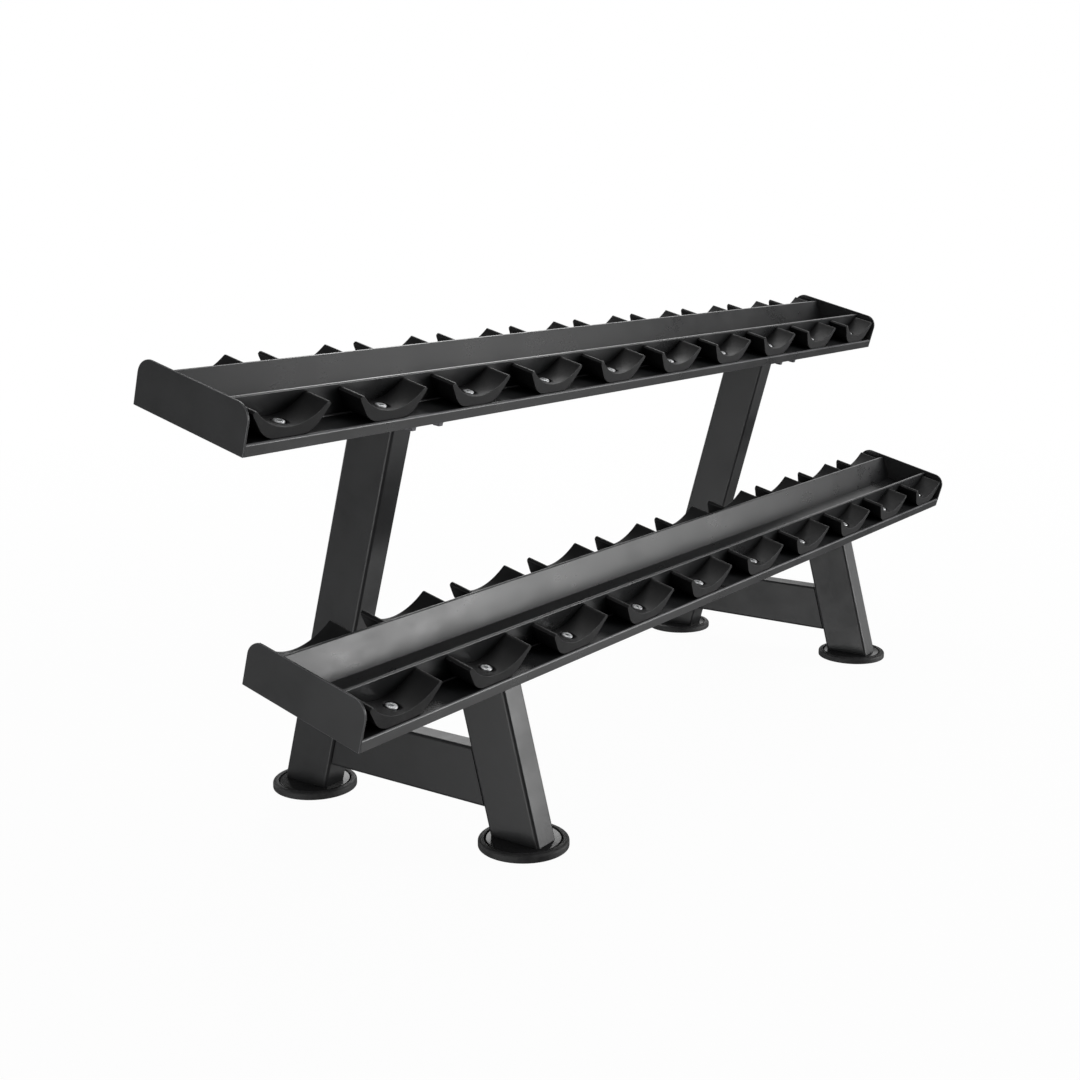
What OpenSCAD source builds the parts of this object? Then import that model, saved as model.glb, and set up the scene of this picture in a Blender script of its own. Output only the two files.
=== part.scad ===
// Two-tier dumbbell rack: 40 moulded saddles on two tilted shelves,
// carried by two side frames that stand on round rubber feet.
// Millimetres. X runs along the rack, the front faces -Y, Z is up, the floor is Z = 0.

/* [Overall] */
// Length over the outer faces of the end plates
rack_length = 2400; // [2300:10:2600]
// Distance between the centres of the front and rear feet
foot_span = 511; // [480:1:560]
// Distance between the centres of the two side frames
frame_spacing = 1458; // [1300:2:1600]
// Lean of the posts and tilt of the shelves, in degrees
tilt = 15; // [10:0.5:18]

/* [Tiers] */
// Depth of a tier, measured along its tilt
tier_depth = 251; // [240:1:280]
// Height of the end plates, square to the tilt
plate_height = 83; // [80:1:100]
// Thickness of the end plates
plate_thickness = 4; // [3:0.5:6]
// Radius of the end plates' top corners
plate_corner = 28; // [10:1:35]
// Thickness of the shelf and tray sheet
sheet = 3; // [2:0.5:4]
// Height of the shelf's folded lips
lip_height = 21; // [18:0.5:30]
// Front bottom edge of the upper tier, from the rear foot's centre forward
upper_setback = 324; // [300:1:360]
// Height of the upper tier's front bottom edge
upper_height = 751; // [700:1:800]
// Front bottom edge of the lower tier, forward of the front foot's centre
lower_overhang = 33; // [0:1:60]
// Height of the lower tier's front bottom edge
lower_height = 323; // [300:1:360]

/* [Centre tray] */
// Distance from a tier's front edge to the tray's front wall
tray_front = 56.5; // [56:0.5:66]
// Distance from a tier's back edge to the tray's back wall
tray_back = 60.5; // [58:0.5:68]
// Height of the tray's rims above the shelf
tray_height = 56; // [40:1:60]
// Width of a rim across its top
tray_rim = 5.5; // [5:0.5:10]
// Slope of the tray's inner walls, away from square to the shelf, in degrees
tray_slope = 32.5; // [15:0.5:36]

/* [Saddles] */
// Dumbbell places on one tier, each with a front and a back saddle
places = 10; // [4:1:10]
// Distance from the rack's end to the first saddle's centre
saddle_end = 100; // [95:1:130]
// Depth of a saddle, front to back
saddle_depth = 52; // [40:1:52]
// Width over the tips of the horns
saddle_width = 174; // [150:1:180]
// Height of a saddle over its horns
saddle_height = 50; // [45:1:55]
// Thickness under the lowest line of the trough
saddle_floor = 17; // [14:0.5:20]
// Width of a horn's tip
horn_tip = 8; // [6.5:0.5:12]
// Radius of a horn's outer corner
horn_round = 5; // [3:0.5:6]
// Slope of the saddle's leaning sides, in degrees
saddle_lean = 53; // [48:1:60]
// Radius that joins the underside to the sides
saddle_round = 50; // [30:1:55]

/* [Side frames] */
// Width of the post and leg tubes along X
tube_width = 56; // [50:1:65]
// Depth of the post and leg tubes
tube_depth = 104; // [90:1:110]
// Wall of the tubes
tube_wall = 3; // [2:0.5:4]
// Outside corner radius of the tubes
tube_corner = 6; // [4:0.5:8]
// Width of the brace tube along X
brace_width = 44; // [36:1:48]
// Height of the brace tube
brace_height = 109; // [90:1:120]
// Height of the brace's underside above the floor
brace_base = 62; // [50:1:90]
// Thickness of the flange where the brace meets the front leg
flange_thickness = 4; // [3:0.5:6]

/* [Feet] */
// Outer radius of a rubber foot
foot_radius = 83; // [75:1:90]
// Height of a rubber foot
foot_height = 15; // [12:1:20]
// Radius of the steel disc that stands in a foot
disc_radius = 69; // [60:1:70]
// Height of the disc's top above the floor
disc_top = 14; // [12:1:16]

/* [Fasteners] */
// Thread diameter of the saddle bolts
saddle_thread = 10; // [8:1:10]
// Head diameter of a saddle bolt
button_head = 21; // [18:0.5:22]
// Thread diameter of the frame bolts
frame_thread = 12; // [10:1:12]
// Distance from a side frame's centre to its bolts, along X
frame_bolt_x = 38; // [34:1:40]
// Distance from a tier's front and rear edge to the frame bolts
frame_bolt_u = 27; // [25:1:32]

/* [Hidden] */
$fn = 64;
far = 600;
eps = 0.01;
upper_front = [foot_span / 2 - upper_setback, upper_height];
lower_front = [-foot_span / 2 - lower_overhang, lower_height];
frame_x = frame_spacing / 2;
shelf_length = rack_length - 2 * plate_thickness;
saddle_pitch = (rack_length - 2 * saddle_end) / (places - 1);
saddle_u = tray_front - saddle_depth / 2;
trough_chord = saddle_width / 2 - horn_tip;
trough_sag = saddle_height - saddle_floor;
trough_radius = (trough_chord * trough_chord + trough_sag * trough_sag) / (2 * trough_sag);
recess_radius = 14;
recess_depth = 2.5;
head_height = 5;
saddle_nut = 8;
frame_nut = 10;
bearer_width = 108;
bearer_wall = 4;
bearer_inset = 10;
top_plate_width = 100;
top_plate = 6;
top_plate_inset = 15;
post_u = 123.5;
leg_shift = 1.8;
pad = 4;

tiers = ["upper", "lower"];

function front_edge(tier) = tier == "upper" ? upper_front : lower_front;
function sign_of(name) = name == "left" || name == "front" ? -1 : 1;
function saddle_x(i) = -rack_length / 2 + saddle_end + i * saddle_pitch;
// Points of an arc, and an outline's points mirrored to the other side in reverse order
function arc(centre, r, from, to, steps) = [
    for (k = [0 : steps]) let (a = from + (to - from) * k / steps)
        centre + r * [cos(a), sin(a)]
];
function mirrored(points) = [
    for (k = [len(points) - 1 : -1 : 0]) [-points[k][0], points[k][1]]
];
function two_digits(n) = n < 10 ? str("0", n) : str(n);

// The tier's own frame: Y along the tilt from its front edge, Z square to it
module on_tier(tier) {
    translate([0, front_edge(tier)[0], front_edge(tier)[1]]) rotate([tilt, 0, 0]) children();
}

// The rear post's own frame: Z up its axis from the middle of the upper tier's underside
module on_post() {
    on_tier("upper") translate([0, post_u, 0]) children();
}

// The front leg's own frame: Z up its axis from the top of its base disc
module on_leg() {
    translate([0, -foot_span / 2 + leg_shift, disc_top]) rotate([-tilt, 0, 0]) children();
}

// A shape drawn in the plane across the rack (Y, Z), extruded along X
module along_x(length) {
    rotate([90, 0, 90]) linear_extrude(length, center = true) children();
}

// A shape drawn in the plane along the rack (X, Z), extruded along Y
module along_y(length) {
    rotate([90, 0, 0]) linear_extrude(length, center = true) children();
}

module tube_section(w, d) {
    difference() {
        rounded_rect(w, d, tube_corner);
        rounded_rect(w - 2 * tube_wall, d - 2 * tube_wall, tube_corner - tube_wall);
    }
}

module rounded_rect(w, d, r) {
    square([w - 2 * r, d], center = true);
    square([w, d - 2 * r], center = true);
    for (x = [-1, 1], y = [-1, 1]) translate([x * (w / 2 - r), y * (d / 2 - r)]) circle(r);
}

// Places of the bolts that hold the saddles of one tier
module at_saddles() {
    for (i = [0 : places - 1], u = [saddle_u, tier_depth - saddle_u])
        translate([saddle_x(i), u, 0]) children();
}

// Places of the bolts that hold one tier to its side frames
module at_frame_bolts() {
    for (s = [-1, 1], b = [-1, 1], u = [frame_bolt_u, tier_depth - frame_bolt_u])
        translate([s * frame_x + b * frame_bolt_x, u, 0]) children();
}

module below_discs() {
    translate([-far / 2, -far, disc_top - far]) cube([far, 2 * far, far]);
}

// ---- Tiers ----

module shelf_profile() {
    bend = 4;
    difference() {
        union() {
            square([tier_depth, lip_height - bend]);
            translate([bend, 0]) square([tier_depth - 2 * bend, lip_height]);
            for (y = [bend, tier_depth - bend]) translate([y, lip_height - bend]) circle(bend);
        }
        translate([sheet, -1]) square([tier_depth - 2 * sheet, lip_height - sheet + 1]);
    }
}

module shelf(tier) {
    color("#3b3d40") on_tier(tier) difference() {
        along_x(shelf_length) shelf_profile();
        at_saddles() cylinder(h = far, r = saddle_thread / 2 + 0.5, center = true);
    }
}

// The hollow between the tray's inner walls, mouth upwards
module tray_hollow(width) {
    foot = tray_height - sheet;
    drift = foot * tan(tray_slope);
    translate([0, sheet]) polygon([
        [-width / 2 + drift, 0], [width / 2 - drift, 0], [width / 2, foot],
        [width / 2, foot + 1], [-width / 2, foot + 1], [-width / 2, foot]
    ]);
}

// The space inside the front fold, between the upright wall and the sloping one
module fold_hollow(width) {
    top = tray_height - sheet;
    slant = sheet / cos(tray_slope);
    root = width / 2 - tray_rim + slant;
    translate([0, -eps]) polygon([
        [-width / 2 + sheet, 0],
        [-root + (tray_height + eps) * tan(tray_slope), 0],
        [-root + sheet * tan(tray_slope), top + eps],
        [-width / 2 + sheet, top + eps]
    ]);
}

// One sheet folded up, over, down into a tray and back up, over and down
module centre_tray(tier) {
    width = tier_depth - tray_front - tray_back;
    color("#4a4c50") on_tier(tier) translate([0, tray_front + width / 2, lip_height])
        along_x(shelf_length) difference() {
            translate([-width / 2, 0]) square([width, tray_height]);
            tray_hollow(width - 2 * tray_rim);
            fold_hollow(width);
            mirror([1, 0]) fold_hollow(width);
        }
}

module end_plate(tier, name) {
    r = plate_corner;
    color("#2c2e31") on_tier(tier)
        translate([sign_of(name) * (rack_length - plate_thickness) / 2, 0, 0])
            along_x(plate_thickness) {
                square([tier_depth, plate_height - r]);
                translate([r, 0]) square([tier_depth - 2 * r, plate_height]);
                for (y = [r, tier_depth - r]) translate([y, plate_height - r]) circle(r);
            }
}

// A channel under the shelf, open to the shelf, that the side frame bolts to
module bearer(tier, name) {
    w = bearer_width;
    color("#2a2b2e") on_tier(tier) difference() {
        translate([sign_of(name) * frame_x - w / 2, bearer_inset, 0])
            cube([w, tier_depth - 2 * bearer_inset, lip_height - sheet]);
        translate([sign_of(name) * frame_x - w / 2 + bearer_wall, 0, bearer_wall])
            cube([w - 2 * bearer_wall, tier_depth, far]);
        at_frame_bolts() cylinder(h = far, r = frame_thread / 2 + 0.5, center = true);
    }
}

// ---- Saddles ----

// Seen from the front: a trough between two horns, on a rounded underside
module saddle_outline() {
    half = saddle_width / 2;
    rise = saddle_height - horn_round;
    base = half - rise / tan(saddle_lean) - saddle_round * tan(saddle_lean / 2);
    right = concat(
        arc([base, saddle_round], saddle_round, -90, saddle_lean - 90, 9),
        arc([half - horn_round, rise], horn_round, 0, 90, 5)
    );
    difference() {
        polygon(concat(right, mirrored(right)));
        translate([0, saddle_floor + trough_radius]) circle(trough_radius);
    }
}

// The front and back saddles of one dumbbell place
module saddles(tier, i) {
    color("#232426") on_tier(tier) for (u = [saddle_u, tier_depth - saddle_u])
        translate([saddle_x(i), u, lip_height]) difference() {
            along_y(saddle_depth) saddle_outline();
            translate([0, 0, saddle_floor - recess_depth]) cylinder(h = far, r = recess_radius);
            cylinder(h = far, r = saddle_thread / 2 + 0.5, center = true);
        }
}

// ---- Side frames ----

module rear_post(name) {
    color("#303236") translate([sign_of(name) * frame_x, 0, 0]) difference() {
        on_post() translate([0, 0, -top_plate - 2 * far]) linear_extrude(2 * far)
            tube_section(tube_width, tube_depth);
        below_discs();
    }
}

module front_leg(name) {
    color("#3a3c40") translate([sign_of(name) * frame_x, 0, 0]) difference() {
        on_leg() translate([0, 0, -far / 2]) linear_extrude(2 * far)
            tube_section(tube_width, tube_depth);
        below_discs();
        on_tier("lower") translate([-far / 2, -far, -top_plate]) cube([far, 2 * far, 2 * far]);
    }
}

// The plate welded across the top of a post or leg
module top_plate(tier, name) {
    color("#2a2b2e") on_tier(tier) difference() {
        translate([sign_of(name) * frame_x - top_plate_width / 2, top_plate_inset, -top_plate])
            cube([top_plate_width, tier_depth - 2 * top_plate_inset, top_plate]);
        at_frame_bolts() cylinder(h = far, r = frame_thread / 2 + 0.5, center = true);
    }
}

// A horizontal bar between the rear post and the front leg, ending short of the leg
module brace_bar(gap) {
    difference() {
        translate([0, 0, brace_base + brace_height / 2]) along_y(far) children();
        on_leg() translate([-far / 2, tube_depth / 2 + gap - far, -far])
            cube([far, far, 2 * far]);
        on_post() translate([-far / 2, -tube_depth / 2, -3 * far]) cube([far, far, 4 * far]);
    }
}

module brace(name) {
    color("#45474b") translate([sign_of(name) * frame_x, 0, 0])
        brace_bar(flange_thickness) tube_section(brace_width, brace_height);
}

// The flange lies back from the brace's faces, so that the joint shows as a dark line
module brace_flange(name) {
    inset = 3;
    color("#1c1d1f") translate([sign_of(name) * frame_x, 0, 0]) difference() {
        brace_bar(0) square([brace_width - 2 * inset, brace_height - 2 * inset], center = true);
        on_leg() translate([-far / 2, tube_depth / 2 + flange_thickness, -far])
            cube([far, far, 2 * far]);
    }
}

// ---- Feet ----

module at_foot(side, end) {
    translate([sign_of(side) * frame_x, sign_of(end) * foot_span / 2, 0]) children();
}

module base_disc(side, end) {
    color("#26282b") at_foot(side, end) translate([0, 0, pad])
        cylinder(h = disc_top - pad, r = disc_radius);
}

// A shallow rubber cup round the base disc
module foot(side, end) {
    inner = disc_radius + 2.5;
    edge = 6;
    color("#1d1e1f") at_foot(side, end) rotate_extrude() {
        square([foot_radius - 2, pad]);
        translate([inner, 0]) square([foot_radius - edge - inner, foot_height]);
        translate([inner, 2]) square([foot_radius - inner, foot_height - edge - 2]);
        translate([foot_radius - edge, foot_height - edge]) circle(edge);
    }
}

// ---- Fasteners ----

// Domed head, with its underside at zero, on a shank that hangs down
module button_bolt(head, thread, shank) {
    r = (head * head / 4 + head_height * head_height) / (2 * head_height);
    intersection() {
        translate([0, 0, head_height - r]) sphere(r);
        cylinder(h = far, r = head / 2);
    }
    translate([0, 0, -shank]) cylinder(h = shank + 1, r = thread / 2);
}

// Hexagon head on a flange, with the shank standing up
module hex_bolt(thread, shank) {
    translate([0, 0, -2]) cylinder(h = 2, r = thread);
    translate([0, 0, -9.5]) cylinder(h = 8, r = thread * 0.87, $fn = 6);
    cylinder(h = shank, r = thread / 2);
}

module nut(thread, height) {
    difference() {
        cylinder(h = height, r = thread * 0.92, $fn = 6);
        translate([0, 0, -1]) cylinder(h = height + 2, r = thread / 2 + 0.05);
    }
}

module saddle_bolts() {
    seat = saddle_floor - recess_depth;
    color("#c9ccd0") for (tier = tiers) on_tier(tier) at_saddles()
        translate([0, 0, lip_height + seat])
            button_bolt(button_head, saddle_thread, seat + sheet + saddle_nut + 2);
}

module saddle_nuts() {
    color("#55585c") for (tier = tiers) on_tier(tier) at_saddles()
        translate([0, 0, lip_height - sheet - saddle_nut]) nut(saddle_thread, saddle_nut);
}

module frame_bolts() {
    color("#55585c") for (tier = tiers) on_tier(tier) at_frame_bolts()
        translate([0, 0, -top_plate]) hex_bolt(frame_thread, top_plate + bearer_wall + frame_nut + 2);
}

module frame_nuts() {
    color("#55585c") for (tier = tiers) on_tier(tier) at_frame_bolts()
        translate([0, 0, bearer_wall]) nut(frame_thread, frame_nut);
}

shelf("upper");  // upper_shelf
shelf("lower");  // lower_shelf
centre_tray("upper");  // upper_centre_tray
centre_tray("lower");  // lower_centre_tray
end_plate("upper", "left");  // upper_left_end_plate
end_plate("upper", "right");  // upper_right_end_plate
end_plate("lower", "left");  // lower_left_end_plate
end_plate("lower", "right");  // lower_right_end_plate
rear_post("left");  // left_rear_post
rear_post("right");  // right_rear_post
front_leg("left");  // left_front_leg
front_leg("right");  // right_front_leg
brace("left");  // left_brace
brace("right");  // right_brace
brace_flange("left");  // left_brace_flange
brace_flange("right");  // right_brace_flange
bearer("upper", "left");  // upper_left_bearer
bearer("upper", "right");  // upper_right_bearer
bearer("lower", "left");  // lower_left_bearer
bearer("lower", "right");  // lower_right_bearer
top_plate("upper", "left");  // left_post_top_plate
top_plate("upper", "right");  // right_post_top_plate
top_plate("lower", "left");  // left_leg_top_plate
top_plate("lower", "right");  // right_leg_top_plate
base_disc("left", "front");  // left_front_base_disc
base_disc("right", "front");  // right_front_base_disc
base_disc("left", "rear");  // left_rear_base_disc
base_disc("right", "rear");  // right_rear_base_disc
foot("left", "front");  // left_front_foot
foot("right", "front");  // right_front_foot
foot("left", "rear");  // left_rear_foot
foot("right", "rear");  // right_rear_foot
saddle_bolts();
saddle_nuts();
frame_bolts();
frame_nuts();
for (tier = tiers, i = [0 : places - 1])
    saddles(tier, i);
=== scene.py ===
import math
import bmesh
import bpy
from mathutils import Matrix, Vector


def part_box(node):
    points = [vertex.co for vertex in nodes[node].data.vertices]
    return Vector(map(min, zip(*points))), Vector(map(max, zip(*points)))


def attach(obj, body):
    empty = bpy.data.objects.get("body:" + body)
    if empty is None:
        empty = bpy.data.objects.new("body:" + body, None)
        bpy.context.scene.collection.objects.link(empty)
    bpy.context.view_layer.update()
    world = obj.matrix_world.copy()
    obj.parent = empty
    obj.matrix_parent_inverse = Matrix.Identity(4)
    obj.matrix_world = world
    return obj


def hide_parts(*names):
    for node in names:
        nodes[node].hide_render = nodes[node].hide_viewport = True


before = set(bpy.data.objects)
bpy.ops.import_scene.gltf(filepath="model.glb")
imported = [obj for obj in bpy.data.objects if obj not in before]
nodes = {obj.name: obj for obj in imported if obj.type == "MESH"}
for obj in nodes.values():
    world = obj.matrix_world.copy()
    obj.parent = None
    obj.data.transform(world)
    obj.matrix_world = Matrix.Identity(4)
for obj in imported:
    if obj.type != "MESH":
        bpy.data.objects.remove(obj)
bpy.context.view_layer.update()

# ---------------------------------------------------------------- sizes, in metres
# tier: the shelf sheet, its end plates and the centre tray
TILT = math.radians(15)
TIER_DEPTH = 0.251
LIP_HEIGHT = 0.021
SHEET = 0.003
SHEET_FOLD = 0.0042
SHEET_EDGE = 0.0006
PLATE_HEIGHT = 0.083
PLATE_CORNER = 0.028
PLATE_EDGE = 0.0009
TRAY_FRONT = 0.0565
TRAY_BACK = 0.0605
TRAY_HEIGHT = 0.056
TRAY_RIM = 0.0055
TRAY_FOLD = 0.0022
TRAY_SLOPE = math.radians(32.5)
WELD_RADIUS = 0.0024
WELD_PITCH = 0.006
WELD_GAP = 0.002

# saddles and their bolts
SADDLE_WIDTH = 0.174
SADDLE_HEIGHT = 0.050
SADDLE_DEPTH = 0.052
SADDLE_FLOOR = 0.017
SADDLE_LEAN = math.radians(53)
SADDLE_ROUND = 0.050
SADDLE_CORNER = 0.0016
HORN_TIP = 0.008
HORN_ROUND = 0.005
RECESS_RADIUS = 0.014
RECESS_DEPTH = 0.0025
HEAD_WIDTH = 0.021
HEAD_HEIGHT = 0.0042
HEAD_BRIM = 0.0012
HEAD_FLATNESS = 0.55
SOCKET_FLATS = 0.007
SOCKET_DEPTH = 0.0028
SHANK_RADIUS = 0.005
SHANK_LENGTH = 0.0275

# feet
FOOT_HEIGHT = 0.015
FOOT_GROOVE = 0.0025
FOOT_PAD = 0.004
FOOT_EDGE = 0.0055
FOOT_ROUND = 0.002
DISC_RADIUS = 0.069
DISC_EDGE = 0.0015

# the stage, at the photograph's angle
CAMERA_PLACE = (-2.7897, -1.7281, 1.1119)
CAMERA_DIP = 12.22
CAMERA_TURN = -55.117
CAMERA_LENS = 50.0
CAMERA_SENSOR = 36.0
AIM_HEIGHT = 0.45
FLOOR_RADIUS = 40.0
FLOOR_GAP = 0.0002
ROOM_LEVEL = 0.12

PLACES = 10
TIERS = ("upper", "lower")
SIDES = ("left", "right")


def tier_frame(tier):
    """The tier's own axes: X along the rack, Y up the tilt from its front edge, Z square to it."""
    lo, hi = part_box(f"{tier}_left_end_plate")
    edge = Vector((0, hi.y - TIER_DEPTH * math.cos(TILT), lo.z))
    return Matrix.Translation(edge) @ Matrix.Rotation(TILT, 4, "X")


# ---------------------------------------------------------------- materials
class Graph:
    """A material's node tree, with short ways to add and join nodes."""

    def __init__(self, name):
        self.material = bpy.data.materials.new(name)
        self.material.use_nodes = True
        self.tree = self.material.node_tree
        self.shader = self.tree.nodes["Principled BSDF"]
        self.place = self.add("ShaderNodeNewGeometry").outputs["Position"]

    def add(self, kind, **settings):
        """Each setting is an input's value where the node has that input, and else a property."""
        made = self.tree.nodes.new(kind)
        for key, value in settings.items():
            if key in made.inputs:
                made.inputs[key].default_value = value
            else:
                setattr(made, key, value)
        return made

    def join(self, output, target):
        self.tree.links.new(output, target)

    def noise(self, scale, detail=4.0, roughness=0.55, stretch=None):
        made = self.add("ShaderNodeTexNoise", Scale=scale, Detail=detail, Roughness=roughness)
        place = self.place
        if stretch:
            mapping = self.add("ShaderNodeMapping", Scale=stretch)
            self.join(place, mapping.inputs["Vector"])
            place = mapping.outputs["Vector"]
        self.join(place, made.inputs["Vector"])
        return made.outputs["Fac"]

    def spread(self, value, low, high, start=0.3, stop=0.7):
        """Maps a value from start..stop to low..high."""
        made = self.add("ShaderNodeMapRange")
        for key, number in zip(("From Min", "From Max", "To Min", "To Max"), (start, stop, low, high)):
            made.inputs[key].default_value = number
        self.join(value, made.inputs["Value"])
        return made.outputs["Result"]

    def ramp(self, value, *stops):
        made = self.add("ShaderNodeValToRGB")
        points = made.color_ramp.elements
        while len(points) < len(stops):
            points.new(0.5)
        for point, (at, colour) in zip(points, stops):
            point.position = at
            point.color = (*colour, 1)
        self.join(value, made.inputs["Fac"])
        return made.outputs["Color"]

    def sum(self, first, second, weight):
        """The first value plus the second one times its weight."""
        made = self.add("ShaderNodeMath", operation="MULTIPLY_ADD")
        self.join(second, made.inputs[0])
        made.inputs[1].default_value = weight
        self.join(first, made.inputs[2])
        return made.outputs["Value"]

    def painted_crevice_shade(self, colour, level, reach, shade_depth):
        """Joins the colour and the specular level, both with painted shade: they sink to the given share in
        tight corners, where an ambient-occlusion node finds surfaces close by.
        """
        near = self.add("ShaderNodeAmbientOcclusion", Distance=reach, samples=6)
        share = self.spread(near.outputs["AO"], shade_depth, 1.0, 0.4, 0.95)
        toned = self.add("ShaderNodeVectorMath", operation="SCALE")
        self.join(colour, toned.inputs[0])
        self.join(share, toned.inputs["Scale"])
        self.join(toned.outputs["Vector"], self.shader.inputs["Base Color"])
        shine = self.add("ShaderNodeMath", operation="MULTIPLY")
        self.join(share, shine.inputs[0])
        shine.inputs[1].default_value = level
        self.join(shine.outputs["Value"], self.shader.inputs["Specular IOR Level"])

    def bump(self, height, distance, strength):
        made = self.add("ShaderNodeBump", Distance=distance, Strength=strength)
        self.join(height, made.inputs["Height"])
        self.join(made.outputs["Normal"], self.shader.inputs["Normal"])


def powder_coat(name, colour, rough, lift=1.25, shade_depth=0.75):
    """Fine-texture powder coat: cloudy tone, orange peel, tiny grains and faint handling marks, and painted
    shade that darkens its colour and sheen in tight corners.
    """
    g = Graph(name)
    cloud = g.noise(9.0, 5.0)
    light = tuple(c * lift for c in colour)
    g.painted_crevice_shade(g.ramp(cloud, (0.35, colour), (0.7, light)), level=0.5, reach=0.034, shade_depth=shade_depth)
    marks = g.noise(38.0, 6.0, 0.65, stretch=(0.35, 1.0, 1.0))
    g.join(g.spread(g.sum(cloud, marks, 0.6), rough - 0.05, rough + 0.07, 0.55, 1.0),
           g.shader.inputs["Roughness"])
    peel = g.noise(420.0, 2.0)
    grain = g.noise(1500.0, 1.0)
    g.bump(g.sum(peel, grain, 0.5), distance=0.00004, strength=0.3)
    return g.material


def moulded_plastic(name, colour, rough):
    """Matt moulded urethane: fine pebbled grain and flow clouds, and painted shade that darkens its colour
    and sheen in tight corners.
    """
    g = Graph(name)
    flow = g.noise(26.0, 6.0, 0.6)
    light = tuple(c * 1.5 for c in colour)
    g.painted_crevice_shade(g.ramp(flow, (0.35, colour), (0.75, light)), level=0.27, reach=0.025, shade_depth=0.6)
    g.join(g.spread(flow, rough - 0.07, rough + 0.08), g.shader.inputs["Roughness"])
    pebbles = g.add("ShaderNodeTexVoronoi", Scale=900.0)
    g.join(g.place, pebbles.inputs["Vector"])
    g.bump(g.sum(pebbles.outputs["Distance"], g.noise(240.0, 3.0), 0.7), distance=0.0001, strength=0.5)
    return g.material


def foot_rubber(name):
    """Moulded rubber with a dusty bloom and scuffs."""
    g = Graph(name)
    scuff = g.noise(70.0, 7.0, 0.7)
    g.join(g.ramp(scuff, (0.4, (0.018, 0.018, 0.019)), (0.75, (0.05, 0.05, 0.05))),
           g.shader.inputs["Base Color"])
    g.join(g.spread(scuff, 0.5, 0.72), g.shader.inputs["Roughness"])
    g.bump(g.sum(g.noise(900.0, 2.0), scuff, 1.0), distance=0.00015, strength=0.6)
    g.shader.inputs["Specular IOR Level"].default_value = 0.45
    return g.material


def plated_steel(name, colour, rough, stretch=0.2):
    """Zinc-plated or oiled steel with fine wear drawn out along Y."""
    g = Graph(name)
    wear = g.noise(160.0, 5.0, 0.6)
    dark = tuple(c * 0.72 for c in colour)
    g.join(g.ramp(wear, (0.3, dark), (0.65, colour)), g.shader.inputs["Base Color"])
    g.join(g.spread(wear, rough - 0.06, rough + 0.1), g.shader.inputs["Roughness"])
    g.shader.inputs["Metallic"].default_value = 1.0
    g.bump(g.noise(700.0, 3.0, 0.6, stretch=(1.0, stretch, 1.0)), distance=0.00004, strength=0.5)
    return g.material


BLACK = (0.021, 0.0215, 0.0225)
COAT = powder_coat("powder_coat_frame", BLACK, 0.38)
COAT_SHELF = powder_coat("powder_coat_shelf", BLACK, 0.29)
# the same shelf coat with fainter painted shade in its corners
COAT_SHELF_FAINT_SHADE = powder_coat("powder_coat_shelf_faint_shade", BLACK, 0.29, shade_depth=0.2)
# a lighter coat for the tops of the tray's rims: a painted highlight
COAT_RIM_HIGHLIGHT = powder_coat("powder_coat_tray_rim_highlight", (0.045, 0.0455, 0.047), 0.29)
# a lighter coat for rounded edges and the lips' folds: a painted highlight
COAT_EDGE_HIGHLIGHT = powder_coat("powder_coat_edge_highlight", (0.10, 0.101, 0.105), 0.30, 1.5)
COAT_GLOSS = powder_coat("gloss_enamel", (0.020, 0.020, 0.021), 0.16, 1.1)
SADDLE = moulded_plastic("saddle_urethane", (0.011, 0.011, 0.0115), 0.50)
# a lighter urethane for the saddles' rounded edges: a painted highlight
SADDLE_EDGE_HIGHLIGHT = moulded_plastic("saddle_urethane_edge_highlight", (0.03, 0.03, 0.031), 0.42)
RUBBER = foot_rubber("foot_rubber")
ZINC = plated_steel("bright_zinc", (0.78, 0.79, 0.80), 0.44)
STEEL = plated_steel("black_oxide_steel", (0.16, 0.16, 0.17), 0.38, stretch=0.5)
# a lighter coat for the weld beads: a painted highlight, with no painted shade in corners
WELD_HIGHLIGHT = powder_coat("powder_coat_weld_highlight", (0.06, 0.0605, 0.062), 0.30, shade_depth=1.0)


# ---------------------------------------------------------------- mesh tools
def piece(name, verts, faces, *materials, place=None):
    """An object from points and faces, with doubled points merged and normals facing out."""
    mesh = bpy.data.meshes.new(name)
    mesh.from_pydata([tuple(v) for v in verts], [], faces)
    made = bpy.data.objects.new(name, mesh)
    bpy.context.scene.collection.objects.link(made)
    for material in materials:
        mesh.materials.append(material)
    work = bmesh.new()
    work.from_mesh(mesh)
    bmesh.ops.remove_doubles(work, verts=work.verts, dist=1e-6)
    bmesh.ops.recalc_face_normals(work, faces=work.faces)
    work.to_mesh(mesh)
    work.free()
    if place:
        mesh.transform(place)
    return made


def smooth(obj, angle):
    obj.data.shade_smooth()
    obj.data.set_sharp_from_angle(angle=math.radians(angle))


def round_edges(obj, width, angle, steps):
    """Rounds the sharp edges with faces in the second material, a lighter coat that paints a highlight on
    them, and keeps the flat faces looking flat.
    """
    obj.data.shade_smooth()
    mod = obj.modifiers.new("rounding", "BEVEL")
    mod.width = width
    mod.segments = steps
    mod.limit_method = "ANGLE"
    mod.angle_limit = math.radians(angle)
    mod.material = 1
    even = obj.modifiers.new("even_normals", "WEIGHTED_NORMAL")
    even.weight = 100
    settle(obj)


def even_normals(obj, angle):
    """Shades the bends smoothly and leaves the flats flat."""
    smooth(obj, angle)
    even = obj.modifiers.new("even_normals", "WEIGHTED_NORMAL")
    even.weight = 100
    even.keep_sharp = True
    settle(obj)


def settle(obj):
    """Replaces the mesh by what its modifiers make of it."""
    graph = bpy.context.evaluated_depsgraph_get()
    made = bpy.data.meshes.new_from_object(obj.evaluated_get(graph))
    old = obj.data
    obj.modifiers.clear()
    obj.data = made
    made.name = obj.name
    bpy.data.meshes.remove(old)


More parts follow.
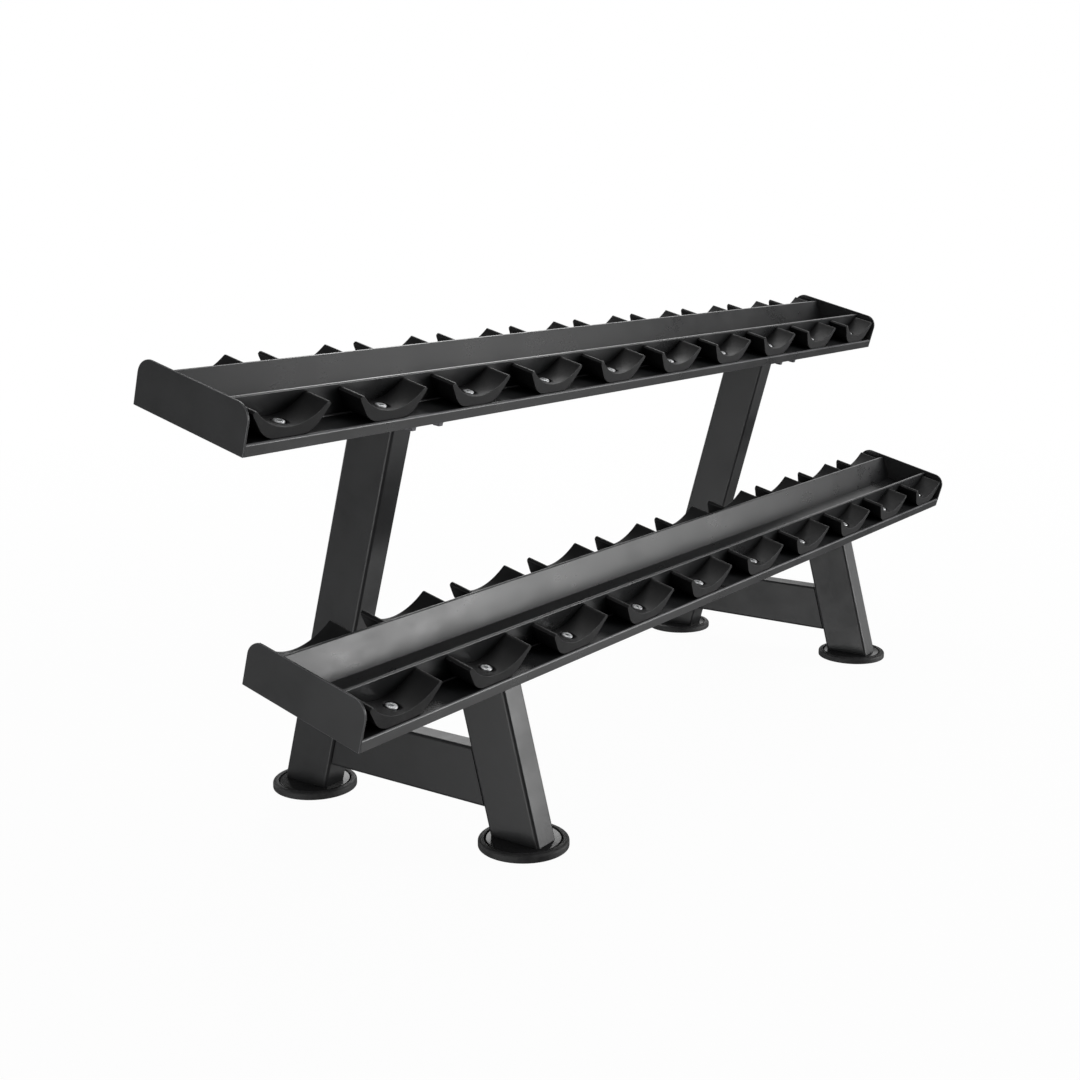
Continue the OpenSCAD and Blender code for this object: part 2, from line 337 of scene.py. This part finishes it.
def arc(centre, radius, start, stop, steps):
    """Points of an arc between two angles in degrees, both ends included."""
    x, y = centre
    angles = (math.radians(start + (stop - start) * k / steps) for k in range(steps + 1))
    return [Vector((x + radius * math.cos(a), y + radius * math.sin(a))) for a in angles]


def circle(radius, steps):
    return [(radius * math.cos(2 * math.pi * j / steps), radius * math.sin(2 * math.pi * j / steps))
            for j in range(steps)]


def bent_path(corners, radius, steps):
    """A line through corner points with each inner corner rounded to the given radius."""
    points = [Vector(corners[0])]
    for before, here, after in zip(corners, corners[1:], corners[2:]):
        before, here, after = Vector(before), Vector(here), Vector(after)
        a, b = (before - here).normalized(), (after - here).normalized()
        half = a.angle(b) / 2
        reach = radius / math.tan(half)
        centre = here + (a + b).normalized() * (radius / math.sin(half))
        start, stop = here + a * reach - centre, here + b * reach - centre
        turn = start.angle_signed(stop)
        for k in range(steps + 1):
            angle = -turn * k / steps
            points.append(centre + Matrix.Rotation(angle, 2) @ start)
    points.append(Vector(corners[-1]))
    return points


def wall_faces(size, rows):
    """Faces between rows + 1 rings of size points, numbered ring after ring."""
    return [
        (k + j, k + (j + 1) % size, k + size + (j + 1) % size, k + size + j)
        for k in range(0, rows * size, size) for j in range(size)
    ]


def flat_caps(size, rows):
    """One face on the first ring and one on the last."""
    return [tuple(range(size)), tuple(range(rows * size, (rows + 1) * size))]


def strip_caps(size, rows):
    """End faces for rings whose second half runs back beside the first half, point for point."""
    return [
        (base + j, base + j + 1, base + size - 2 - j, base + size - 1 - j)
        for base in (0, rows * size) for j in range(size // 2 - 1)
    ]


def swept(name, ring, caps, length, *materials, place, cuts=24):
    """A closed outline in the plane across the rack, swept along X and capped."""
    verts = [(length * (k / cuts - 0.5), p.x, p.y) for k in range(cuts + 1) for p in ring]
    faces = wall_faces(len(ring), cuts) + caps(len(ring), cuts)
    return piece(name, verts, faces, *materials, place=place)


def thick_line(outer, thickness):
    """The outline of a bent sheet, from the line of its outer side."""
    inner = []
    for k, here in enumerate(outer):
        before, after = outer[max(k - 1, 0)], outer[min(k + 1, len(outer) - 1)]
        along = (after - before).normalized()
        inner.append(here + Vector((along.y, -along.x)) * thickness)
    return outer + inner[::-1]


def lathe(name, outline, *materials, place=None, steps=128):
    """An outline of (radius, height) points that starts and ends on Z, turned about Z."""
    verts, faces = [], []
    count = len(outline)
    for k in range(steps):
        a = 2 * math.pi * k / steps
        verts += [(r * math.cos(a), r * math.sin(a), z) for r, z in outline]
    for k in range(steps):
        after = (k + 1) % steps
        for j in range(count - 1):
            faces.append((k * count + j, after * count + j, after * count + j + 1, k * count + j + 1))
    made = piece(name, verts, faces, *materials, place=place)
    work = bmesh.new()
    work.from_mesh(made.data)
    thin = [f for f in work.faces if f.calc_area() < 1e-12]
    bmesh.ops.delete(work, geom=thin, context="FACES")
    bmesh.ops.recalc_face_normals(work, faces=work.faces)
    work.to_mesh(made.data)
    work.free()
    return made


def weld_bead(name, start, stop, radius, pitch):
    """A rippled weld bead: a round section along a straight line, swelling once per pitch."""
    length = (stop - start).length
    along = (stop - start).normalized()
    across = along.orthogonal().normalized()
    up = along.cross(across)
    rows, sides = max(1, round(length / (pitch / 3))), 8
    verts = []
    for k in range(rows + 1):
        spot, run = start.lerp(stop, k / rows), length * k / rows
        swell = radius * (0.86 + 0.14 * abs(math.cos(math.pi * run / pitch)))
        for j in range(sides):
            a = 2 * math.pi * j / sides
            verts.append(spot + (across * math.cos(a) + up * math.sin(a)) * swell)
    # the bead takes the lighter weld coat, a painted highlight
    made = piece(name, verts, wall_faces(sides, rows) + flat_caps(sides, rows), WELD_HIGHLIGHT)
    smooth(made, 80)
    return made


def stands_for(obj, node):
    """Puts the object in the place of a CAD node."""
    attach(obj, "root")
    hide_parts(node)


def trim(obj):
    """Adds the object beside the CAD nodes."""
    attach(obj, "root")


# ---------------------------------------------------------------- tiers
def shelf(tier):
    """The shelf sheet, folded down along its front and back."""
    lo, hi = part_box(f"{tier}_shelf")
    corners = [(0, 0), (0, LIP_HEIGHT), (TIER_DEPTH, LIP_HEIGHT), (TIER_DEPTH, 0)]
    ring = thick_line(bent_path(corners, SHEET_FOLD, 6), SHEET)
    made = swept(f"{tier}_shelf_sheet", ring, strip_caps, hi.x - lo.x, COAT_SHELF_FAINT_SHADE, COAT_EDGE_HIGHLIGHT,
                 place=tier_frame(tier))
    round_edges(made, SHEET_EDGE, angle=60, steps=2)
    bend_highlight(made, tier)
    stands_for(made, f"{tier}_shelf")


def bend_highlight(obj, tier):
    """The slanting faces of the lips' folds take the lighter edge coat, a painted highlight."""
    back = tier_frame(tier).inverted()
    for face in obj.data.polygons:
        normal = back.to_3x3() @ face.normal
        if abs(normal.x) < 0.2 and 0.35 < normal.z < 0.93 and abs(normal.y) > 0.3:
            face.material_index = 1


def tray_outline():
    """The folded sheet's upper and lower lines across the rack, from the front wall to the back wall."""
    front, back = TRAY_FRONT, TIER_DEPTH - TRAY_BACK
    foot, top = LIP_HEIGHT, LIP_HEIGHT + TRAY_HEIGHT
    lean = math.tan(TRAY_SLOPE)
    drift = (TRAY_HEIGHT - SHEET) * lean
    under = TRAY_RIM - SHEET / math.cos(TRAY_SLOPE)
    upper = [
        (front, foot), (front, top), (front + TRAY_RIM, top), (front + TRAY_RIM + drift, foot + SHEET),
        (back - TRAY_RIM - drift, foot + SHEET), (back - TRAY_RIM, top), (back, top), (back, foot),
    ]
    lower = [
        (back - SHEET, foot), (back - SHEET, top - SHEET), (back - under - SHEET * lean, top - SHEET),
        (back - under - TRAY_HEIGHT * lean, foot), (front + under + TRAY_HEIGHT * lean, foot),
        (front + under + SHEET * lean, top - SHEET), (front + SHEET, top - SHEET), (front + SHEET, foot),
    ]
    return bent_path(upper, TRAY_FOLD, 5) + [Vector(p) for p in lower]


def centre_tray(tier):
    """The tray sheet: its upright walls take the coat with fainter painted shade, and the tops of its rims
    a lighter coat, a painted highlight.
    """
    lo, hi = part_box(f"{tier}_centre_tray")
    made = swept(f"{tier}_tray_sheet", tray_outline(), flat_caps, hi.x - lo.x,
                 COAT_SHELF, COAT_SHELF_FAINT_SHADE, COAT_RIM_HIGHLIGHT, place=tier_frame(tier))
    back = tier_frame(tier).inverted()
    for face in made.data.polygons:
        normal, centre = back.to_3x3() @ face.normal, back @ face.center
        if abs(normal.y) > 0.95:
            face.material_index = 1
        elif normal.z > 0.4 and centre.z > LIP_HEIGHT + TRAY_HEIGHT - SHEET:
            face.material_index = 2
    even_normals(made, 40)
    stands_for(made, f"{tier}_centre_tray")


def end_plate(tier, side):
    """A flat plate with its two top corners rounded."""
    node = f"{tier}_{side}_end_plate"
    lo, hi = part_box(node)
    corner = PLATE_CORNER
    outline = [Vector((0, 0)), Vector((TIER_DEPTH, 0))]
    outline += arc((TIER_DEPTH - corner, PLATE_HEIGHT - corner), corner, 0, 90, 14)
    outline += arc((corner, PLATE_HEIGHT - corner), corner, 90, 180, 14)
    count = len(outline)
    verts = [(x, p.x, p.y) for x in (lo.x, hi.x) for p in outline]
    faces = [tuple(range(count)), tuple(range(count, 2 * count))]
    faces += [(j, (j + 1) % count, count + (j + 1) % count, count + j) for j in range(count)]
    made = piece(f"{node}_rounded", verts, faces, COAT, COAT_EDGE_HIGHLIGHT, place=tier_frame(tier))
    round_edges(made, PLATE_EDGE, angle=60, steps=3)
    stands_for(made, node)


def tier_welds(tier):
    """Beads where the tray's walls stand on the shelf."""
    lo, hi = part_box(f"{tier}_shelf")
    place = tier_frame(tier)
    for name, y in (("front", TRAY_FRONT), ("back", TIER_DEPTH - TRAY_BACK)):
        start, stop = (place @ Vector((x, y, LIP_HEIGHT)) for x in (lo.x + WELD_GAP, hi.x - WELD_GAP))
        trim(weld_bead(f"{tier}_{name}_tray_weld", start, stop, WELD_RADIUS, WELD_PITCH))


# ---------------------------------------------------------------- saddles
def saddle_columns(count=48):
    """Matching points along the trough and along the saddle's outer side, from tip to tip."""
    half = SADDLE_WIDTH / 2
    rise = SADDLE_HEIGHT - HORN_ROUND
    base = half - rise / math.tan(SADDLE_LEAN) - SADDLE_ROUND * math.tan(SADDLE_LEAN / 2)
    chord, sag = half - HORN_TIP, SADDLE_HEIGHT - SADDLE_FLOOR
    radius = (chord ** 2 + sag ** 2) / (2 * sag)
    swing = math.degrees(math.asin(chord / radius))
    trough = arc((0, SADDLE_FLOOR + radius), radius, -90 - swing, -90 + swing, count)
    lean = math.degrees(SADDLE_LEAN)
    side = arc((base, SADDLE_ROUND), SADDLE_ROUND, -90, lean - 90, 12)
    right = [Vector((base * k / 6, 0)) for k in range(6)] + side
    slope_end = Vector((half, rise))
    right += [side[-1].lerp(slope_end, k / 4) for k in range(1, 5)]
    right += arc((half - HORN_ROUND, rise), HORN_ROUND, 0, 90, 5)[1:]
    under = [Vector((-p.x, p.y)) for p in right[::-1]] + right[1:]
    return trough, even_points(under, count)


def even_points(line, count):
    """The line shared out into count steps, keeping its two first and its two last points."""
    lengths = [0.0]
    for a, b in zip(line, line[1:]):
        lengths.append(lengths[-1] + (b - a).length)
    inner_start, inner_stop = lengths[1], lengths[-2]
    made = [line[0]]
    for k in range(count - 1):
        want = inner_start + (inner_stop - inner_start) * k / (count - 2)
        j = max(i for i in range(len(line) - 1) if lengths[i] <= want + 1e-9)
        share = (want - lengths[j]) / max(lengths[j + 1] - lengths[j], 1e-9)
        made.append(line[j].lerp(line[min(j + 1, len(line) - 1)], min(share, 1)))
    made.append(line[-1])
    return made


def saddle_mesh():
    """One saddle standing on Z = 0 with its middle on the Z axis."""
    trough, under = saddle_columns()
    ring, slices = trough + under[::-1], 6
    verts = [(p.x, SADDLE_DEPTH * (k / slices - 0.5), p.y) for k in range(slices + 1) for p in ring]
    faces = wall_faces(len(ring), slices) + strip_caps(len(ring), slices)
    made = piece("saddle_pattern", verts, faces, SADDLE, SADDLE_EDGE_HIGHLIGHT)
    round_edges(made, SADDLE_CORNER, angle=50, steps=3)
    drill(made, RECESS_RADIUS, bottom=SADDLE_FLOOR - RECESS_DEPTH, height=0.03)
    smooth(made, 40)
    return made


def drill(obj, radius, bottom, height):
    """Sinks a round recess, open upwards."""
    top = bottom + height
    cutter = lathe("recess_cutter", [(0, bottom), (radius, bottom), (radius, top), (0, top)], steps=64)
    mod = obj.modifiers.new("recess", "BOOLEAN")
    mod.operation = "DIFFERENCE"
    mod.object = cutter
    mod.solver = "EXACT"
    settle(obj)
    bpy.data.objects.remove(cutter)


def saddle_places(tier):
    """Middle of each dumbbell place along the rack, from the CAD nodes."""
    for k in range(1, PLACES + 1):
        lo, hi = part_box(f"{tier}_saddles_{k:02d}")
        yield k, (lo.x + hi.x) / 2


def saddle_rows():
    """Middle of the front and back saddle rows across the tier."""
    front = TRAY_FRONT - SADDLE_DEPTH / 2
    return front, TIER_DEPTH - front


def saddles():
    """One pair of saddles for each dumbbell place, all from the same pattern."""
    pattern = saddle_mesh()
    pair = bpy.data.meshes.new("saddle_pair")
    work = bmesh.new()
    for y in saddle_rows():
        copy = pattern.data.copy()
        copy.transform(Matrix.Translation((0, y, LIP_HEIGHT)))
        work.from_mesh(copy)
        bpy.data.meshes.remove(copy)
    work.to_mesh(pair)
    work.free()
    for material in (SADDLE, SADDLE_EDGE_HIGHLIGHT):
        pair.materials.append(material)
    bpy.data.objects.remove(pattern)
    for tier in TIERS:
        for k, x in saddle_places(tier):
            made = bpy.data.objects.new(f"{tier}_saddle_pair_{k:02d}", pair.copy())
            made.data.transform(tier_frame(tier) @ Matrix.Translation((x, 0, 0)))
            bpy.context.scene.collection.objects.link(made)
            smooth(made, 40)
            stands_for(made, f"{tier}_saddles_{k:02d}")
    bpy.data.meshes.remove(pair)


# ---------------------------------------------------------------- bolts
def hexagon(flats, steps):
    """A hexagon's outline as steps points at even angles."""
    ring = []
    for j in range(steps):
        a = 2 * math.pi * j / steps
        bend = (a + math.pi / 6) % (math.pi / 3) - math.pi / 6
        r = flats / 2 / math.cos(bend)
        ring.append((r * math.cos(a), r * math.sin(a)))
    return ring


def stacked(rings):
    """Vertices and faces of a closed skin over rings of equal size."""
    size, rows = len(rings[0]), len(rings) - 1
    return [v for ring in rings for v in ring], wall_faces(size, rows) + flat_caps(size, rows)


def button_head():
    """One domed head with a hexagon socket, sitting on Z = 0."""
    steps, layers = 36, 11
    lip, land, chamfer = 0.0006, 0.0004, 0.0003
    edge = HEAD_WIDTH / 2
    rim = SOCKET_FLATS / 2 / math.cos(math.pi / 6) + land
    dome = [(edge - lip, 0.0), (edge, lip), (edge, HEAD_BRIM)]
    for k in range(1, layers):
        a = math.radians(90 * k / layers)
        across, up = math.cos(a) ** HEAD_FLATNESS, math.sin(a) ** HEAD_FLATNESS
        dome.append((rim + (edge - rim) * across, HEAD_BRIM + (HEAD_HEIGHT - HEAD_BRIM) * up))
    dome.append((rim, HEAD_HEIGHT))
    rings = [[(x, y, z) for x, y in circle(r, steps)] for r, z in dome]
    for sink, share in ((chamfer, 1.0), (SOCKET_DEPTH, 1.0), (SOCKET_DEPTH + lip, 0.3)):
        rings.append([(x, y, HEAD_HEIGHT - sink) for x, y in hexagon(SOCKET_FLATS * share, steps)])
    return stacked(rings)


def saddle_bolts():
    """All the bolts in one piece, each turned a little differently; a shank starts just inside its head."""
    top = 0.0002
    shank = stacked([[(x, y, z) for x, y in circle(SHANK_RADIUS, 24)] for z in (top, -SHANK_LENGTH)])
    bolt = (button_head(), shank)
    seat = LIP_HEIGHT + SADDLE_FLOOR - RECESS_DEPTH
    verts, faces = [], []
    for tier in TIERS:
        for place_number, x in saddle_places(tier):
            for row, y in enumerate(saddle_rows()):
                turn = Matrix.Rotation(math.radians(37 * place_number + 13 * row), 4, "Z")
                at = tier_frame(tier) @ Matrix.Translation((x, y, seat)) @ turn
                for part_verts, part_faces in bolt:
                    start = len(verts)
                    verts += [at @ Vector(v) for v in part_verts]
                    faces += [tuple(start + j for j in f) for f in part_faces]
    made = piece("saddle_bolts_domed", verts, faces, ZINC)
    smooth(made, 30)
    stands_for(made, "saddle_bolts")


# ---------------------------------------------------------------- feet
def turned_piece(name, node, outline, material):
    """A turned piece that stands where the CAD node stands."""
    lo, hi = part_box(node)
    place = Matrix.Translation(((lo.x + hi.x) / 2, (lo.y + hi.y) / 2, lo.z))
    made = lathe(name, outline, material, place=place)
    smooth(made, 40)
    stands_for(made, node)


def foot(side, end):
    """A rubber cup: a round-edged ring, with a thin pad under the base disc."""
    node = f"{side}_{end}_foot"
    lo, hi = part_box(node)
    outer, inner = (hi.x - lo.x) / 2, DISC_RADIUS + FOOT_GROOVE
    heel, mouth = 0.003, 0.0015
    outline = [(0, 0), (outer - heel, 0)]
    outline += arc((outer - FOOT_ROUND, FOOT_ROUND), FOOT_ROUND, -60, 0, 4)
    outline += arc((outer - FOOT_EDGE, FOOT_HEIGHT - FOOT_EDGE), FOOT_EDGE, 0, 90, 8)
    outline += arc((inner + mouth, FOOT_HEIGHT - mouth), mouth, 90, 180, 4)
    outline += [(inner, FOOT_PAD), (0, FOOT_PAD)]
    turned_piece(f"{node}_ring", node, outline, RUBBER)


def base_disc(side, end):
    """A turned disc with a rounded top edge."""
    node = f"{side}_{end}_base_disc"
    lo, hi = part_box(node)
    height = hi.z - lo.z
    outline = [(0, 0), (DISC_RADIUS, 0)]
    outline += arc((DISC_RADIUS - DISC_EDGE, height - DISC_EDGE), DISC_EDGE, 0, 90, 5)
    outline += [(0, height)]
    turned_piece(f"{node}_turned", node, outline, COAT_GLOSS)


# ---------------------------------------------------------------- build
for tier in TIERS:
    shelf(tier)
    centre_tray(tier)
    tier_welds(tier)
    for side in SIDES:
        end_plate(tier, side)
saddles()
saddle_bolts()
for side in SIDES:
    for end in ("front", "rear"):
        foot(side, end)
        base_disc(side, end)

CAD_FINISH = {
    COAT: ["rear_post", "front_leg", "brace", "top_plate", "bearer"],
    STEEL: ["saddle_nuts", "frame_bolts", "frame_nuts"],
}
for name, obj in nodes.items():
    for material, words in CAD_FINISH.items():
        if any(word in name for word in words):
            obj.data.materials.clear()
            obj.data.materials.append(material)

# ---------------------------------------------------------------- stage, light and camera
# name, azimuth, elevation, size, power, and the distance where it isn't studio_light's own
LIGHTS = (
    ("front_right_low", -38, 3, 2.0, 33),
    ("front_right_side", -56, 3, 2.0, 100),
    ("front_right_mid", -42, 24, 2.0, 20),
    ("left", -168, 3, 2.0, 27),
    ("left_front_mid", -150, 38, 2.2, 12),
    ("back_right_low", 42, 15, 2.0, 25),
    ("right_mid", 14, 21, 2.0, 15),
    ("back_right_mid", 30, 43, 2.2, 68),
    ("top", -20, 80, 3.0, 36),
    ("behind", 100, 8, 3.0, 45),
    ("floor_glow_right", -37, -24, 2.0, 10),
    ("floor_glow_near", -45, -40, 2.0, 13),
    ("floor_glow_left", 165, -14, 3.6, 160, 9.0),
)


def studio_light(name, azimuth, elevation, size, power, distance=5.0):
    """A square soft box that looks at the rack; the azimuth runs from +X towards +Y, in degrees."""
    turn, rise = math.radians(azimuth), math.radians(elevation)
    away = Vector((math.cos(rise) * math.cos(turn), math.cos(rise) * math.sin(turn), math.sin(rise)))
    data = bpy.data.lights.new(name, "AREA")
    data.shape = "SQUARE"
    data.size = size
    data.energy = power
    made = bpy.data.objects.new(name, data)
    made.location = Vector((0, 0, AIM_HEIGHT)) + away * distance
    made.rotation_euler = away.to_track_quat("Z", "Y").to_euler()
    bpy.context.scene.collection.objects.link(made)


def floor():
    """A white floor that glows by itself, slightly less near the rack."""
    steps = 96
    made = piece("floor", [(x, y, 0) for x, y in circle(FLOOR_RADIUS, steps)], [tuple(range(steps))])
    g = Graph("floor_white")
    g.shader.inputs["Base Color"].default_value = (0.86, 0.86, 0.86, 1)
    g.shader.inputs["Roughness"].default_value = 0.8
    glow = g.add("ShaderNodeEmission", Strength=1.0)
    mix = g.add("ShaderNodeMixShader")
    length = g.add("ShaderNodeVectorMath", operation="LENGTH")
    g.join(g.place, length.inputs[0])
    g.join(g.spread(length.outputs["Value"], 0.97, 1.0, 1.5, 5.0), mix.inputs["Fac"])
    g.join(g.shader.outputs["BSDF"], mix.inputs[1])
    g.join(glow.outputs["Emission"], mix.inputs[2])
    g.join(mix.outputs["Shader"], g.tree.nodes["Material Output"].inputs["Surface"])
    made.data.materials.append(g.material)
    made.location.z = -FLOOR_GAP
    made.visible_diffuse = made.visible_glossy = made.visible_shadow = False


def white_surround():
    """White behind the object, and a dimmer room in its reflections."""
    world = bpy.data.worlds.new("studio")
    bpy.context.scene.world = world
    world.use_nodes = True
    tree = world.node_tree
    shade = tree.nodes["Background"]
    shade.inputs["Color"].default_value = (1, 1, 1, 1)
    path = tree.nodes.new("ShaderNodeLightPath")
    level = tree.nodes.new("ShaderNodeMapRange")
    level.inputs["To Min"].default_value = ROOM_LEVEL
    level.inputs["To Max"].default_value = 1.0
    tree.links.new(path.outputs["Is Camera Ray"], level.inputs["Value"])
    tree.links.new(level.outputs["Result"], shade.inputs["Strength"])


def camera():
    data = bpy.data.cameras.new("camera")
    data.lens, data.sensor_width = CAMERA_LENS, CAMERA_SENSOR
    made = bpy.data.objects.new("camera", data)
    made.location = CAMERA_PLACE
    made.rotation_euler = (math.radians(90 - CAMERA_DIP), 0, math.radians(CAMERA_TURN))
    bpy.context.scene.collection.objects.link(made)
    bpy.context.scene.camera = made


floor()
white_surround()
camera()
for light in LIGHTS:
    studio_light(*light)
bpy.context.scene.view_settings.view_transform = "Standard"
